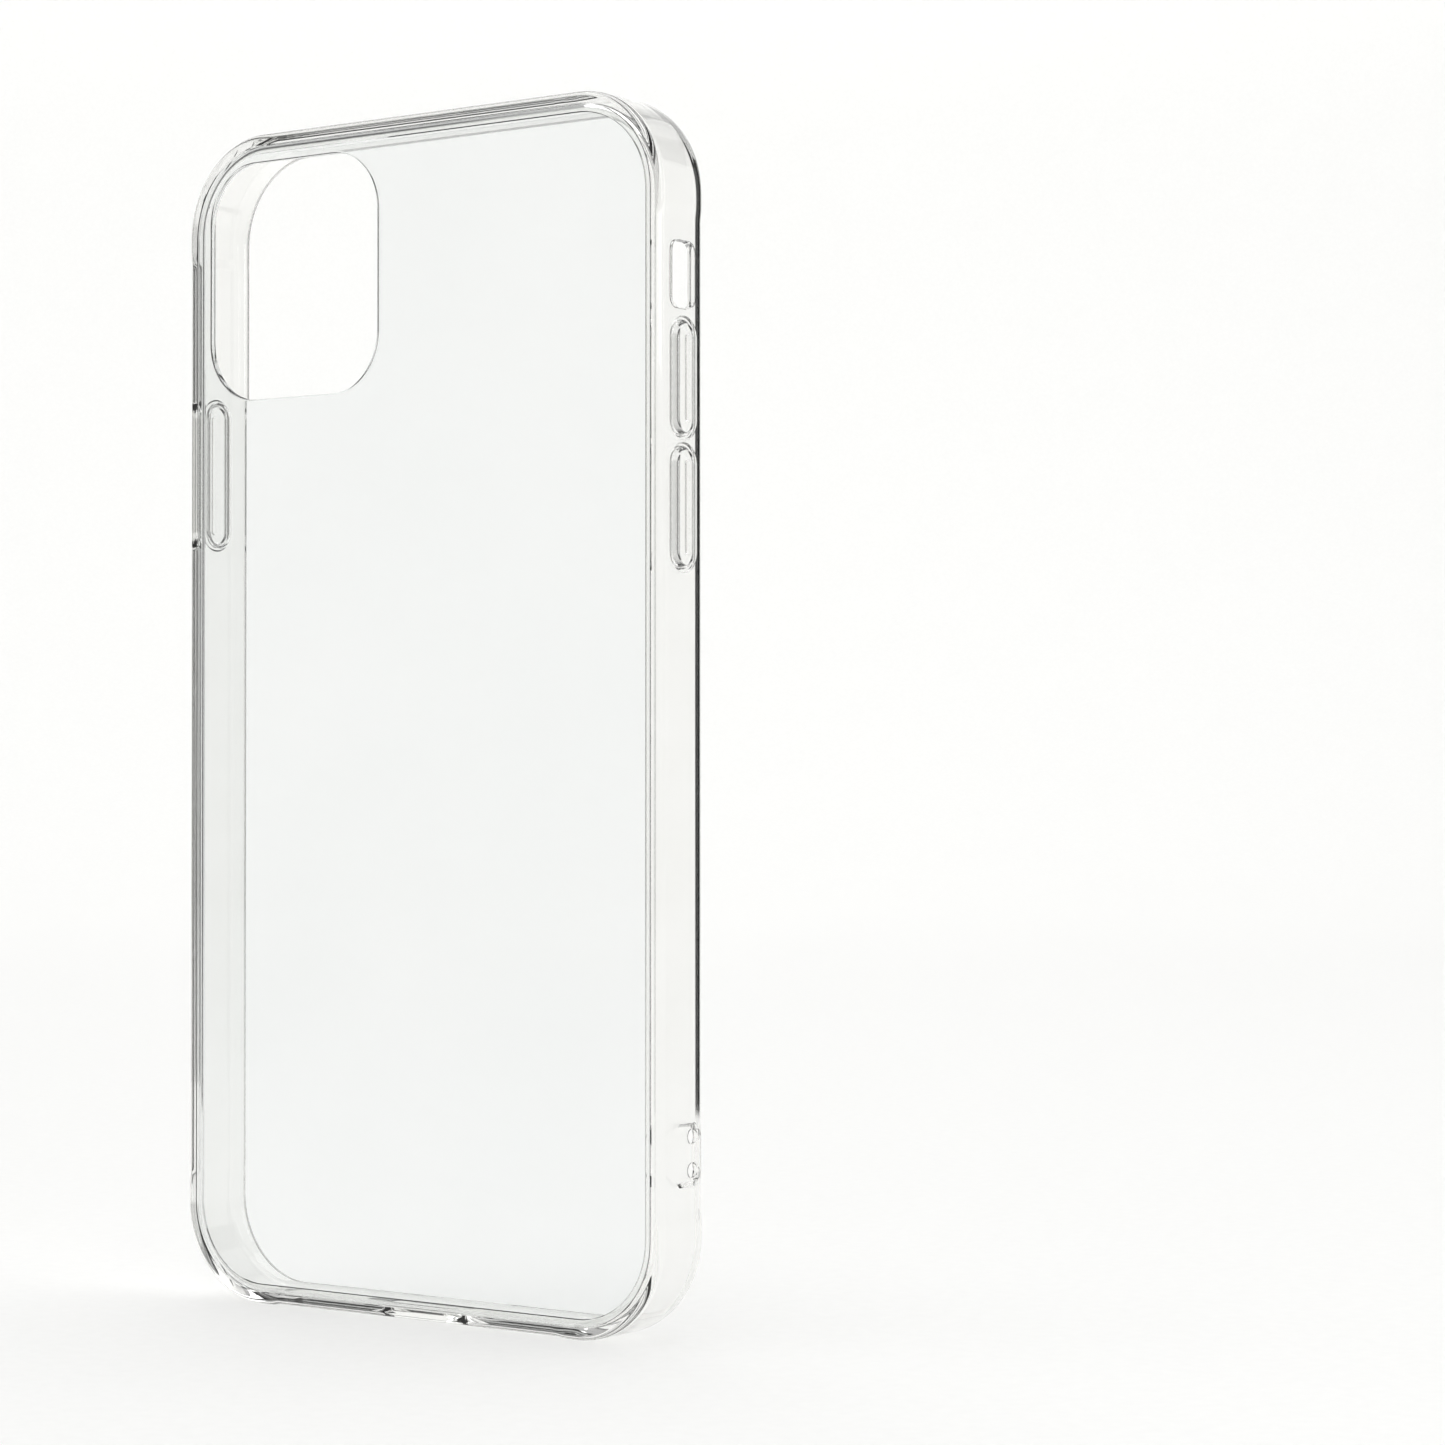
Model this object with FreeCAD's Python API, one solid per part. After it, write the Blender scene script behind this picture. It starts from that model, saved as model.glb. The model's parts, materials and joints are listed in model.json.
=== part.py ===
"""Clear phone case: a hard flat back plate held by a soft bumper ring with three push-button covers.

The case stands on its bottom edge. +Z runs up its height, the outer back face looks along -Y, the volume buttons
are on +X and the power button is on -X. The origin is the middle of the base. Every length is in millimetres.
Sections are drawn in inset and depth: inset from the outermost face of a wall, depth from the outer back face.
"""
import FreeCAD, Part
import math
import os

Vec = FreeCAD.Vector

# The phone that the case holds
PHONE_W = 75.7
PHONE_H = 150.9
PHONE_T = 8.3

# The case's walls
WALL = 1.4               # outermost face to cavity, on all four sides
PLATE_T = 0.95           # hard back plate
LIP_T = 0.55             # how far the front lip stands above the phone's screen
LIP_OVERLAP = 0.45       # how far the front lip reaches over the phone's screen
CORNER_R = 13.0          # outer corner radius

CASE_W = PHONE_W + 2 * WALL
CASE_H = PHONE_H + 2 * WALL
CASE_D = PLATE_T + PHONE_T + LIP_T

# The bumper ring's section
SEAM_INSET = 1.6         # edge of the hard plate's outer tier
LEDGE_INSET = 2.5        # edge of the hard plate's inner tier
TIER_DEPTH = 0.5         # depth where the plate steps in
BACK_EDGE_R = 0.75
FRONT_EDGE_R = 2.6
FRONT_SWEEP = 50         # degrees that the front edge turns before the lip's crest
CREST_R = 0.6
LIP_EDGE = 0.2           # slope on the lip's inner edge
LIP_UNDERCUT = 1.6       # depth over which the wall curves in under the lip
CORNER_PAD = 0.2         # the corners stand this far proud of the walls, but not of the top one
PAD_RUN = 1.6            # flat run of a corner pad past its arc
PAD_RAMP = 2.0           # slope from the corner pad down to the wall

# The camera cut-out in the hard plate
CAMERA_X = (-35.2, -6.2)
CAMERA_Z = (118.75, 149.95)
CAMERA_R = 7.8
CAMERA_EDGE_R = 0.3

# Buttons and the mute switch opening: heights from the base
FEATURE_DEPTH = 5.0      # middle plane of the buttons and openings
MUTE_Z = (126.5, 134.7)
MUTE_T = 4.5
MUTE_R = 1.3
VOLUME_UP_Z = (111.15, 124.65)
VOLUME_DOWN_Z = (94.95, 109.2)
POWER_Z = (100.2, 118.8)
BUTTONS = {
    "power": (-1, POWER_Z),
    "volume_up": (1, VOLUME_UP_Z),
    "volume_down": (1, VOLUME_DOWN_Z),
}
BUTTON_T = 3.6
BUTTON_PROUD = 0.3       # how far a cover stands proud of the corner pads
BUTTON_EDGE_R = 0.4
RIB_T = 0.55             # the raised rib along a cover
RIB_SHORTER = BUTTON_T - RIB_T
RIB_PROUD = 0.15
COVER_INSET = 1.15       # the cover's inner face
WEB_MARGIN = 0.4         # width of the flexing web round a cover
WEB_GAP = 0.05
WEB_INSET = (0.75, 1.15)
DISH_MARGIN = 0.85       # the shallow dish round the buttons
DISH_INSET = 0.45        # the dish's floor

# The lanyard pocket low on the +X wall
POCKET_Z = (19.05, 26.75)
POCKET_DEPTHS = (2.45, 9.0)
POCKET_INSET = 0.9       # the pocket's floor
POCKET_SLOPE = 0.45      # how far the pocket's sides slope in down to its floor
POCKET_CHAMFER = 1.7
LANYARD_HOLES_Z = (20.93, 25.1)
LANYARD_HOLE_DEPTH = 7.8
LANYARD_HOLE_R = 0.875

# The charging port opening in the bottom wall
PORT_L = 13.4
PORT_T = 5.4
FLARE_L = 25.2
FLARE_T = 6.4
FLARE_RISE = 1.0

OUTER_X = CASE_W / 2
BACK_Y = -CASE_D / 2
FEATURE_Y = BACK_Y + FEATURE_DEPTH
MIDDLE = Vec(0, 0, CASE_H / 2)
ABOVE = 3.0              # how far a cutting tool runs past a face


def loop(points_and_arcs):
    """Wire through edges given as (start, end) for a line or (start, middle, end) for an arc.

    A line of no length is left out, so a rounded outline may close up into a half circle."""
    edges = []
    for item in points_and_arcs:
        if len(item) == 2 and item[0].isEqual(item[1], 1e-6):
            continue
        if len(item) == 2:
            edges.append(Part.makeLine(item[0], item[1]))
        else:
            edges.append(Part.Arc(item[0], item[1], item[2]).toShape())
    return Part.Wire(edges)


def ring_section(wall, place):
    """Section of the bumper whose outer face is at inset wall. place turns (inset, depth) into a point."""
    half = math.sqrt(0.5)
    back_start = (BACK_EDGE_R, 0)
    back_mid = (BACK_EDGE_R - (BACK_EDGE_R - wall) * half, BACK_EDGE_R * (1 - half))
    back_end = (wall, BACK_EDGE_R)

    crest_drop = CREST_R * (1 - math.cos(math.radians(90 - FRONT_SWEEP)))
    rise = FRONT_EDGE_R * math.sin(math.radians(FRONT_SWEEP))
    front_y = CASE_D - crest_drop - rise
    front_centre = wall + FRONT_EDGE_R

    def on_front(degrees):
        angle = math.radians(degrees)
        return (front_centre - FRONT_EDGE_R * math.cos(angle), front_y + FRONT_EDGE_R * math.sin(angle))

    front_end = on_front(FRONT_SWEEP)
    crest_x = front_end[0] + CREST_R * math.sin(math.radians(90 - FRONT_SWEEP))
    crest_turn = math.radians((90 - FRONT_SWEEP) / 2)
    crest_mid = (crest_x - CREST_R * math.sin(crest_turn), CASE_D - CREST_R * (1 - math.cos(crest_turn)))

    lip_x = WALL + LIP_OVERLAP
    screen_y = CASE_D - LIP_T
    under_r = (LIP_OVERLAP ** 2 + LIP_UNDERCUT ** 2) / (2 * LIP_OVERLAP)
    under_mid = (WALL + under_r - math.sqrt(under_r ** 2 - (LIP_UNDERCUT / 2) ** 2), screen_y - LIP_UNDERCUT / 2)
    floor_r = LEDGE_INSET - WALL
    floor_mid = (LEDGE_INSET - floor_r * half, PLATE_T + floor_r * (1 - half))

    outline = [
        ((SEAM_INSET, 0), back_start),
        (back_start, back_mid, back_end),
        (back_end, (wall, front_y)),
        ((wall, front_y), on_front(FRONT_SWEEP / 2), front_end),
        (front_end, crest_mid, (crest_x, CASE_D)),
        ((crest_x, CASE_D), (lip_x - LIP_EDGE, CASE_D)),
        ((lip_x - LIP_EDGE, CASE_D), (lip_x, CASE_D - LIP_EDGE)),
        ((lip_x, CASE_D - LIP_EDGE), (lip_x, screen_y)),
        ((lip_x, screen_y), under_mid, (WALL, screen_y - LIP_UNDERCUT)),
        ((WALL, screen_y - LIP_UNDERCUT), (WALL, PLATE_T + floor_r)),
        ((WALL, PLATE_T + floor_r), floor_mid, (LEDGE_INSET, PLATE_T)),
        ((LEDGE_INSET, PLATE_T), (LEDGE_INSET, TIER_DEPTH)),
        ((LEDGE_INSET, TIER_DEPTH), (SEAM_INSET, TIER_DEPTH)),
        ((SEAM_INSET, TIER_DEPTH), (SEAM_INSET, 0)),
    ]
    return loop([tuple(place(*point) for point in item) for item in outline])


def ring_side(turn, reach, run):
    """One straight wall and the corner after it. turn is the side's outward angle, in degrees: 90 is the top."""
    angle = math.radians(turn)
    out = Vec(math.cos(angle), 0, math.sin(angle))
    along = Vec(-math.sin(angle), 0, math.cos(angle))

    def section(wall, offset):
        def place(inset, depth):
            point = MIDDLE + out * (reach - inset) + along * offset
            return Vec(point.x, BACK_Y + depth, point.z)
        return ring_section(wall, place)

    def straight(wall, start, end):
        return Part.Face(section(wall, start)).extrude(along * (end - start))

    ramp_start = run - PAD_RUN
    ramp_end = ramp_start - PAD_RAMP
    corner_centre = MIDDLE + out * (reach - CORNER_R) + along * run
    corner = Part.Face(section(0, run)).revolve(corner_centre, Vec(0, -1, 0), 90)
    if turn == 90:
        return [straight(0, -run, run), corner]
    return [
        straight(0, -run, -ramp_start),
        Part.makeLoft([section(0, -ramp_start), section(CORNER_PAD, -ramp_end)], True, True),
        straight(CORNER_PAD, -ramp_end, ramp_end),
        Part.makeLoft([section(CORNER_PAD, ramp_end), section(0, ramp_start)], True, True),
        straight(0, ramp_start, run),
        corner,
    ]


def bumper_ring():
    """The soft ring before its openings are cut: four walls and four rounded corners."""
    pieces = []
    for turn in (0, 90, 180, 270):
        reach, other = (OUTER_X, CASE_H / 2) if turn % 180 == 0 else (CASE_H / 2, OUTER_X)
        pieces += ring_side(turn, reach, other - CORNER_R)
    return pieces[0].fuse(pieces[1:]).removeSplitter()


def rounded_plate(half_w, half_h, radius, depth_from, depth_to, centre=MIDDLE):
    """Rounded rectangle in the XZ plane, extruded in depth."""
    y = BACK_Y + depth_from
    x, z = half_w - radius, half_h - radius
    far = radius * math.sqrt(0.5)

    def at(px, pz):
        return Vec(centre.x + px, y, centre.z + pz)

    wire = loop([
        (at(-x, -half_h), at(x, -half_h)),
        (at(x, -half_h), at(x + far, -z - far), at(half_w, -z)),
        (at(half_w, -z), at(half_w, z)),
        (at(half_w, z), at(x + far, z + far), at(x, half_h)),
        (at(x, half_h), at(-x, half_h)),
        (at(-x, half_h), at(-x - far, z + far), at(-half_w, z)),
        (at(-half_w, z), at(-half_w, -z)),
        (at(-half_w, -z), at(-x - far, -z - far), at(-x, -half_h)),
    ])
    return Part.Face(wire).extrude(Vec(0, depth_to - depth_from, 0))


def side_rounded(side, z_range, width, inset_from, inset_to, radius=None):
    """Rounded-end shape seen along X on the wall at side (+1 or -1), from one inset to another."""
    radius = radius or width / 2
    x = side * (OUTER_X - inset_from)
    low, high = z_range
    near, far_y = FEATURE_Y - width / 2, FEATURE_Y + width / 2
    bulge = radius * (1 - math.sqrt(0.5))

    def at(y, z):
        return Vec(x, y, z)

    wire = loop([
        (at(near, low + radius), at(near, high - radius)),
        (at(near, high - radius), at(near + bulge, high - bulge), at(near + radius, high)),
        (at(near + radius, high), at(far_y - radius, high)),
        (at(far_y - radius, high), at(far_y - bulge, high - bulge), at(far_y, high - radius)),
        (at(far_y, high - radius), at(far_y, low + radius)),
        (at(far_y, low + radius), at(far_y - bulge, low + bulge), at(far_y - radius, low)),
        (at(far_y - radius, low), at(near + radius, low)),
        (at(near + radius, low), at(near + bulge, low + bulge), at(near, low + radius)),
    ])
    return Part.Face(wire).extrude(Vec(-side * (inset_to - inset_from), 0, 0))


def grown(z_range, margin):
    return (z_range[0] - margin, z_range[1] + margin)


def button_recess(side, z_range):
    """Shallow dish round a button, and the window behind it."""
    dish = side_rounded(side, grown(z_range, DISH_MARGIN), BUTTON_T + 2 * DISH_MARGIN, -ABOVE, DISH_INSET)
    window = side_rounded(side, grown(z_range, WEB_MARGIN), BUTTON_T + 2 * WEB_MARGIN, -ABOVE, WALL + ABOVE)
    return [dish, window]


def pocket_outline(inset, margin):
    """Eight-sided outline on the +X wall, drawn in by margin."""
    low, high = grown(POCKET_Z, -margin)
    near, far = BACK_Y + POCKET_DEPTHS[0] + margin, BACK_Y + POCKET_DEPTHS[1] - margin
    c = POCKET_CHAMFER
    corners = [(near, low + c), (near, high - c), (near + c, high), (far - c, high),
               (far, high - c), (far, low + c), (far - c, low), (near + c, low)]
    points = [Vec(OUTER_X - inset, y, z) for y, z in corners]
    return Part.makePolygon(points + points[:1])


def lanyard_pocket():
    """Sloped pocket in the +X wall and the two holes that leave a bar for the cord."""
    tools = [Part.makeLoft([pocket_outline(0, 0), pocket_outline(POCKET_INSET, POCKET_SLOPE)], True, True)]
    for z in LANYARD_HOLES_Z:
        start = Vec(OUTER_X, BACK_Y + LANYARD_HOLE_DEPTH, z)
        tools.append(Part.makeCylinder(LANYARD_HOLE_R, 2 * WALL, start, Vec(-1, 0, 0)))
    return tools


def port_outline(length, width, z):
    """Long rounded slot in a level plane, across the bottom wall."""
    r = width / 2
    x = length / 2 - r

    def at(px, py):
        return Vec(px, FEATURE_Y + py, z)

    return loop([
        (at(-x, -r), at(x, -r)),
        (at(x, -r), at(x + r, 0), at(x, r)),
        (at(x, r), at(-x, r)),
        (at(-x, r), at(-x - r, 0), at(-x, -r)),
    ])


def port_opening():
    """Charging port slot with an outer flare that tapers out to both sides."""
    slot = Part.Face(port_outline(PORT_L, PORT_T, -ABOVE)).extrude(Vec(0, 0, 3 * ABOVE))
    wide = port_outline(FLARE_L, FLARE_T, -0.001)
    narrow = port_outline(PORT_L, PORT_T, FLARE_RISE)
    return [slot, Part.makeLoft([wide, narrow], True, True)]


def bumper_frame():
    mute = side_rounded(1, MUTE_Z, MUTE_T, -ABOVE, WALL + ABOVE, MUTE_R)
    tools = [mute]
    for side, z_range in BUTTONS.values():
        tools += button_recess(side, z_range)
    tools += lanyard_pocket()
    tools += port_opening()
    return bumper_ring().cut(tools)


def back_panel():
    """Hard plate in two tiers. The wider outer tier sits on the bumper's ledge."""
    outer = rounded_plate(OUTER_X - SEAM_INSET, CASE_H / 2 - SEAM_INSET, CORNER_R - SEAM_INSET, 0, TIER_DEPTH)
    inner = rounded_plate(OUTER_X - LEDGE_INSET, CASE_H / 2 - LEDGE_INSET, CORNER_R - LEDGE_INSET,
                          TIER_DEPTH, PLATE_T)
    plate = outer.fuse(inner).removeSplitter()
    half_w = (CAMERA_X[1] - CAMERA_X[0]) / 2
    half_h = (CAMERA_Z[1] - CAMERA_Z[0]) / 2
    centre = Vec(sum(CAMERA_X) / 2, 0, sum(CAMERA_Z) / 2)
    plate = plate.cut(rounded_plate(half_w, half_h, CAMERA_R, -ABOVE, PLATE_T + ABOVE, centre))
    rim = [e for e in plate.Edges if on_camera_rim(e, centre, half_w, half_h)]
    return plate.makeFillet(CAMERA_EDGE_R, rim)


def on_camera_rim(edge, centre, half_w, half_h):
    """True for an edge of the camera cut-out on the outer back face."""
    box = edge.BoundBox
    inside = abs(box.Center.x - centre.x) < half_w + 0.1 and abs(box.Center.z - centre.z) < half_h + 0.1
    return inside and box.YMax < BACK_Y + 0.01


def button_cover(side, z_range):
    """Rounded cover with a crowned outer edge and a raised rib along it."""
    body = side_rounded(side, z_range, BUTTON_T, -BUTTON_PROUD, COVER_INSET)
    outer_x = OUTER_X + BUTTON_PROUD
    rim = [e for e in body.Edges if min(abs(e.BoundBox.XMin), abs(e.BoundBox.XMax)) > outer_x - 0.01]
    body = body.makeFillet(BUTTON_EDGE_R, rim)
    rib = side_rounded(side, grown(z_range, -RIB_SHORTER / 2), RIB_T, -BUTTON_PROUD - RIB_PROUD, 0)
    return body.fuse(rib).removeSplitter()


def button_web(side, z_range):
    """Thin flexing skin between a cover and the wall round it."""
    skin = side_rounded(side, grown(z_range, WEB_MARGIN), BUTTON_T + 2 * WEB_MARGIN, *WEB_INSET)
    hole = side_rounded(side, grown(z_range, WEB_GAP), BUTTON_T + 2 * WEB_GAP, -ABOVE, WALL + ABOVE)
    return skin.cut(hole)


def main():
    os.makedirs("parts", exist_ok=True)
    nodes = {"back_panel": back_panel(), "bumper_frame": bumper_frame()}
    for name, (side, z_range) in BUTTONS.items():
        nodes[name + "_button_cover"] = button_cover(side, z_range)
        nodes[name + "_button_web"] = button_web(side, z_range)
    for name, shape in nodes.items():
        solid = shape.Solids[0]
        box = solid.optimalBoundingBox(False, False)
        print(name, len(shape.Solids), shape.isValid(), round(solid.Volume, 1),
              [round(v, 3) for v in (box.XMin, box.YMin, box.ZMin, box.XMax, box.YMax, box.ZMax)])
        solid.exportStep("parts/" + name + ".step")


main()
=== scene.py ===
"""Looks of a clear phone case: hard clear plate, soft clear bumper, button covers and the skins round them.

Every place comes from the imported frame. Sections are drawn in inset and depth: inset from the outermost face
of a wall, depth from the outer back face. The case stands on its bottom edge with its back towards -Y.
"""

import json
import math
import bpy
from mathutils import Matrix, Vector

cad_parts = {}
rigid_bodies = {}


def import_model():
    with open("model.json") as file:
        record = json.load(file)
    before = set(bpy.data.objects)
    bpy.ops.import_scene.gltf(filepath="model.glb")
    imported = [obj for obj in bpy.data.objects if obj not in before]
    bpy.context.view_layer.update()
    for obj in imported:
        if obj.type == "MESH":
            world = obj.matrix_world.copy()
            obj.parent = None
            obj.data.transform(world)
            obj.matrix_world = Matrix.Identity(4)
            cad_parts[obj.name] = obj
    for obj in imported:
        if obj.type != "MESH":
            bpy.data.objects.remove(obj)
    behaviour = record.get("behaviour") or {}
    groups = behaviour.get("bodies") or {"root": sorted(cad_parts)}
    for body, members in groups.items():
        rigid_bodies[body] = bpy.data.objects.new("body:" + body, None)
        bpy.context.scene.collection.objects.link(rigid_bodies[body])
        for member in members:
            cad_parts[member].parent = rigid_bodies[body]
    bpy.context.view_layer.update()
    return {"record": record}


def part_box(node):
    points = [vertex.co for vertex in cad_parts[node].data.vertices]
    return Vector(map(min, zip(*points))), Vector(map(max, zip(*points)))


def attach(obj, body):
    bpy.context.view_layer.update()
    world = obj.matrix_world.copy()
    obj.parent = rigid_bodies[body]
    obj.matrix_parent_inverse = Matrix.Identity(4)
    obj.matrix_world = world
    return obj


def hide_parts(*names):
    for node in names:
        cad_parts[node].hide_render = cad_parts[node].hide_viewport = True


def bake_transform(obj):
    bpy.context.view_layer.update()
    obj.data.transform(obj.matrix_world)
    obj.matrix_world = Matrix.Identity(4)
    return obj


bl_info = {
    "name": "Clear Phone Case",
    "version": (1, 0, 0),
    "blender": (4, 5, 0),
    "location": "3D View > Sidebar > Phone Case",
    "description": "Builds a clear two-material phone case round its packed frame",
    "category": "Add Mesh",
}

import bmesh
import bpy
from bpy.props import FloatProperty, FloatVectorProperty, IntProperty, PointerProperty
from mathutils import Matrix, Vector

for startup_object in list(bpy.data.objects):
    bpy.data.objects.remove(startup_object)
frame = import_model()

MM = 0.001
BUMPER_LOW, BUMPER_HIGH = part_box("bumper_frame")
PLATE_LOW, PLATE_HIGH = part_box("back_panel")
MOUNTS = {mount["name"]: Vector(mount["pos_m"]) for mount in frame["record"]["mounts"]}
BUTTON_SIDES = {"power": -1, "volume_up": 1, "volume_down": 1}

WORLD_STRENGTH = 0.48
FLAG_DISTANCE, FLAG_FOOT, FLAG_TOP = 0.3, 0.001, 0.5
FLOOR_SIDES = 96
FRONT_SWEEP = 50


# ---------------------------------------------------------------- sizes and finishes

def mm_property(name, description, default):
    """A length that a user may change, given here in millimetres."""
    return FloatProperty(name=name, description=description, default=default * MM, min=0.0,
                         precision=5, unit="LENGTH")


def hex_to_linear(code):
    """Linear RGB of an sRGB hex colour such as F4F5F5."""
    def channel(pair):
        value = int(pair, 16) / 255
        return value / 12.92 if value <= 0.04045 else ((value + 0.055) / 1.055) ** 2.4
    return tuple(channel(code[i:i + 2]) for i in (0, 2, 4))


def colour_property(name, description, code):
    return FloatVectorProperty(name=name, description=description, subtype="COLOR", size=3,
                               min=0.0, max=1.0, default=hex_to_linear(code))


class BumperShape(bpy.types.PropertyGroup):
    wall: mm_property("Wall", "Outermost face to cavity", 1.4)
    corner_radius: mm_property("Corner radius", "Outer corner radius", 13.0)
    ledge_inset: mm_property("Ledge inset", "Inner end of the ledge under the plate", 2.5)
    tier_depth: mm_property("Tier depth", "Depth where the plate steps in", 0.5)
    back_edge_radius: mm_property("Back edge radius", "Rounding towards the back face", 0.75)
    front_edge_radius: mm_property("Front edge radius", "Rounding towards the front lip", 2.6)
    crest_radius: mm_property("Crest radius", "Rounding on top of the front lip", 0.6)
    lip_overlap: mm_property("Lip overlap", "How far the lip reaches over the screen", 0.45)
    lip_height: mm_property("Lip height", "How far the lip stands above the screen", 0.55)
    lip_undercut: mm_property("Lip undercut", "Depth over which the wall curves in under the lip", 1.6)
    corner_pad: mm_property("Corner pad", "How far the corners stand proud of the walls", 0.2)
    pad_run: mm_property("Pad run", "Flat run of a corner pad past its arc", 1.6)
    pad_ramp: mm_property("Pad ramp", "Slope from a corner pad down to the wall", 2.0)
    seam_gap: mm_property("Seam gap", "Parting line between the plate and the bumper", 0.03)
    edge_round: mm_property("Edge rounding", "Rounding on the edges of the openings", 0.15)
    corner_steps: IntProperty(name="Corner steps", description="Faces round each corner",
                              default=40, min=8, max=96)


class OpeningShape(bpy.types.PropertyGroup):
    camera_width: mm_property("Camera width", "Width of the camera cut-out", 29.0)
    camera_height: mm_property("Camera height", "Height of the camera cut-out", 31.2)
    camera_radius: mm_property("Camera corner radius", "Corner radius of the camera cut-out", 7.8)
    mute_low: mm_property("Mute low", "Lower end of the mute switch opening", 126.5)
    mute_high: mm_property("Mute high", "Upper end of the mute switch opening", 134.7)
    mute_width: mm_property("Mute width", "Width of the mute switch opening", 4.5)
    mute_radius: mm_property("Mute corner radius", "Corner radius of the mute switch opening", 1.3)
    feature_depth: mm_property("Feature depth", "Middle plane of the buttons and openings", 5.0)
    dish_margin: mm_property("Dish margin", "Shallow dish round the buttons", 0.85)
    dish_inset: mm_property("Dish inset", "Floor of the dish", 0.45)
    pocket_height: mm_property("Pocket height", "Height of the lanyard pocket", 7.7)
    pocket_near: mm_property("Pocket near side", "Side of the lanyard pocket next to the back", 2.45)
    pocket_far: mm_property("Pocket far side", "Side of the lanyard pocket next to the front", 9.0)
    pocket_inset: mm_property("Pocket inset", "Floor of the lanyard pocket", 0.9)
    pocket_slope: mm_property("Pocket slope", "How far the pocket's sides slope in", 0.45)
    pocket_chamfer: mm_property("Pocket chamfer", "Cut corners of the lanyard pocket", 1.7)
    hole_radius: mm_property("Hole radius", "Radius of the two lanyard holes", 0.875)
    hole_spacing: mm_property("Hole spacing", "Distance between the lanyard holes", 4.17)
    port_length: mm_property("Port length", "Length of the charging port slot", 13.4)
    port_width: mm_property("Port width", "Width of the charging port slot", 5.4)
    flare_length: mm_property("Flare length", "Outer length of the port's flare", 25.2)
    flare_width: mm_property("Flare width", "Outer width of the port's flare", 6.4)
    flare_rise: mm_property("Flare rise", "Depth of the port's flare", 1.0)


class CaseFinish(bpy.types.PropertyGroup):
    plate_colour: colour_property("Plate", "Polycarbonate plate", "FAFBFB")
    plate_shade: colour_property("Plate shade", "Denser patches of the plate", "F5F7F7")
    bumper_colour: colour_property("Bumper", "Thermoplastic polyurethane bumper", "FBFBFA")
    bumper_shade: colour_property("Bumper shade", "Denser patches of the bumper", "F7F7F5")
    paper_colour: colour_property("Backdrop", "Seamless paper", "F4F4F3")
    paper_shade: colour_property("Backdrop fibre", "Darker fibres of the paper", "EFEFEE")


class StageShape(bpy.types.PropertyGroup):
    azimuth: FloatProperty(name="Azimuth", description="Camera turn to the case's right",
                           default=math.radians(35.67), subtype="ANGLE")
    camera_distance: mm_property("Distance", "Camera to the case's middle along the view", 469.1)
    camera_sideways: mm_property("Sideways", "How far the case stands left of the view's middle", 36.5)
    camera_height: mm_property("Height", "Camera above the floor", 70.5)
    lens: FloatProperty(name="Lens", description="Focal length", default=91.16, subtype="DISTANCE_CAMERA")
    tilt: FloatProperty(name="Tilt", description="Camera turned up from level",
                        default=math.radians(0.683), subtype="ANGLE")
    sweep_radius: mm_property("Sweep radius", "Radius of the floor before it curves up", 1500.0)
    sweep_bend: mm_property("Sweep bend", "Radius of the curve from floor to wall", 500.0)
    sweep_height: mm_property("Sweep height", "Height of the backdrop wall", 1600.0)


GROUPS = {
    "case_bumper": BumperShape,
    "case_openings": OpeningShape,
    "case_finish": CaseFinish,
    "case_stage": StageShape,
}


# ---------------------------------------------------------------- nodes and materials

def add_node(tree, kind, inputs=None, **settings):
    """Add a node. An input is a plain value, or another node's output to link."""
    node = tree.nodes.new(kind)
    for name, value in settings.items():
        setattr(node, name, value)
    for name, value in (inputs or {}).items():
        if isinstance(value, bpy.types.NodeSocket):
            tree.links.new(value, node.inputs[name])
        else:
            node.inputs[name].default_value = value
    return node


def new_material(name):
    """Empty material with a Principled shader, and its Object coordinates."""
    material = bpy.data.materials.new(name)
    material.use_nodes = True
    tree = material.node_tree
    tree.nodes.clear()
    shader = add_node(tree, "ShaderNodeBsdfPrincipled")
    add_node(tree, "ShaderNodeOutputMaterial", {"Surface": shader.outputs["BSDF"]})
    place = add_node(tree, "ShaderNodeTexCoord").outputs["Object"]
    return material, tree, shader, place


def clear_polycarbonate(finish):
    """Clear polycarbonate sheet, injection moulded against polished steel: glass-clear, mirror-smooth, with
    a faint cool cast and slow flow waves that only show where a reflection runs across it."""
    material, tree, shader, place = new_material("clear_polycarbonate_polished")
    shader.inputs["Transmission Weight"].default_value = 1.0
    shader.inputs["IOR"].default_value = 1.585
    flow = add_node(tree, "ShaderNodeTexNoise", {"Vector": place, "Scale": 1 / (30 * MM), "Detail": 1.0})
    handling = add_node(tree, "ShaderNodeTexNoise", {"Vector": place, "Scale": 1 / (6 * MM), "Detail": 5.0})
    colour = add_node(tree, "ShaderNodeMix", {0: flow.outputs["Fac"], 6: (*finish.plate_colour, 1.0),
                                              7: (*finish.plate_shade, 1.0)}, data_type="RGBA")
    tree.links.new(colour.outputs[2], shader.inputs["Base Color"])
    gloss = add_node(tree, "ShaderNodeMapRange",
                     {"Value": handling.outputs["Fac"], "To Min": 0.0, "To Max": 0.03})
    tree.links.new(gloss.outputs["Result"], shader.inputs["Roughness"])
    wave = add_node(tree, "ShaderNodeBump",
                    {"Height": flow.outputs["Fac"], "Strength": 0.02, "Distance": 0.1 * MM})
    tree.links.new(wave.outputs["Normal"], shader.inputs["Normal"])
    return material


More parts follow.
